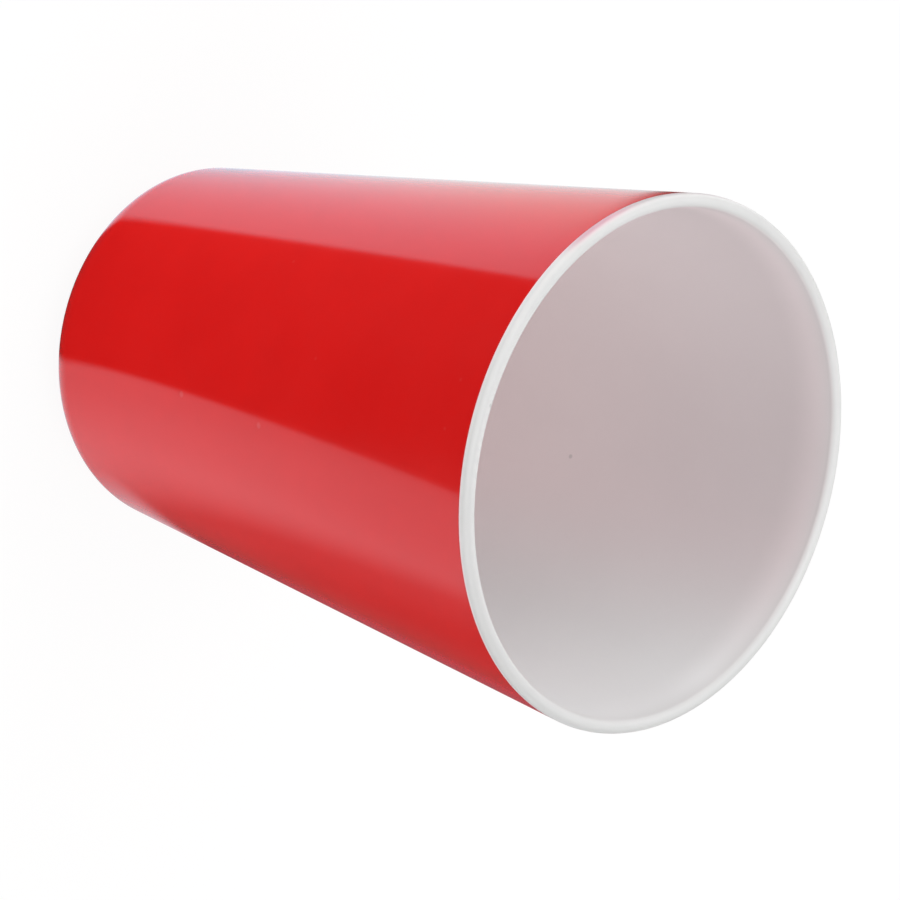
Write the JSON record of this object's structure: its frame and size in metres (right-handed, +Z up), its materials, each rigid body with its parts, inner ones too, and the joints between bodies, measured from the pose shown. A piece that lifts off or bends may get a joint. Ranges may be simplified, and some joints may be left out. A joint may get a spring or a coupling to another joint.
{
  "type": "plastic mug",
  "caption": "Tapered plastic mug without a handle, glossy red outside and white inside, with a rounded white lip and a rounded lower edge.",
  "frame": {"origin": "centre of the foot, in the plane that the mug stands on", "axes": "+Z up along the mug's axis, from the foot to the mouth; the mug is round, so X and Y are free"},
  "size_m": [0.085, 0.085, 0.113],
  "materials": {
    "red_plastic": "glossy, smooth",
    "white_plastic": "satin, smooth"
  },
  "bodies": {
    "root": {"mug": "red_plastic"}
  },
  "joints": []
}
